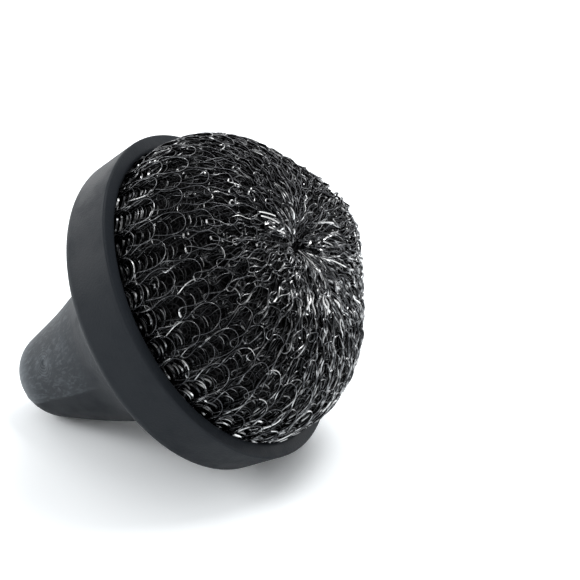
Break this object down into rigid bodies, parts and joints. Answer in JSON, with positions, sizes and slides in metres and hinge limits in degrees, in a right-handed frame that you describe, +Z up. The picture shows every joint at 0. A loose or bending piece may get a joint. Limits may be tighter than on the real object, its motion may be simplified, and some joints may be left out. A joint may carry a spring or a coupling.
{
  "type": "grill brush",
  "caption": "Hand-held grill scrubber: a domed pad of knitted steel wire held in the bell of a moulded handle with a tapered round grip, lying on its side.",
  "frame": {"origin": "on the floor, under the centre of the bounding box of the brush lying on its side", "axes": "+X from the grip towards the pad, under the tool's axis, +Z up from the floor, +Y to the left of the axis"},
  "size_m": [0.0994, 0.0898, 0.0839],
  "materials": {
    "handle_plastic": "matte black moulded polypropylene",
    "claw_plastic": "matte black moulded nylon",
    "zinc_steel": "zinc-plated steel",
    "steel_wire": "bright flat steel wire",
    "knit_roll": "rolled knit of flat steel wire"
  },
  "bodies": {
    "root": {"handle": "handle_plastic", "claw_plate": "claw_plastic", "plate_washer": "zinc_steel", "plate_screw": "zinc_steel", "tie_wire": "steel_wire", "mesh_roll": "knit_roll", "mesh_tail": "knit_roll", "mesh_skin": "steel_wire"}
  },
  "joints": []
}
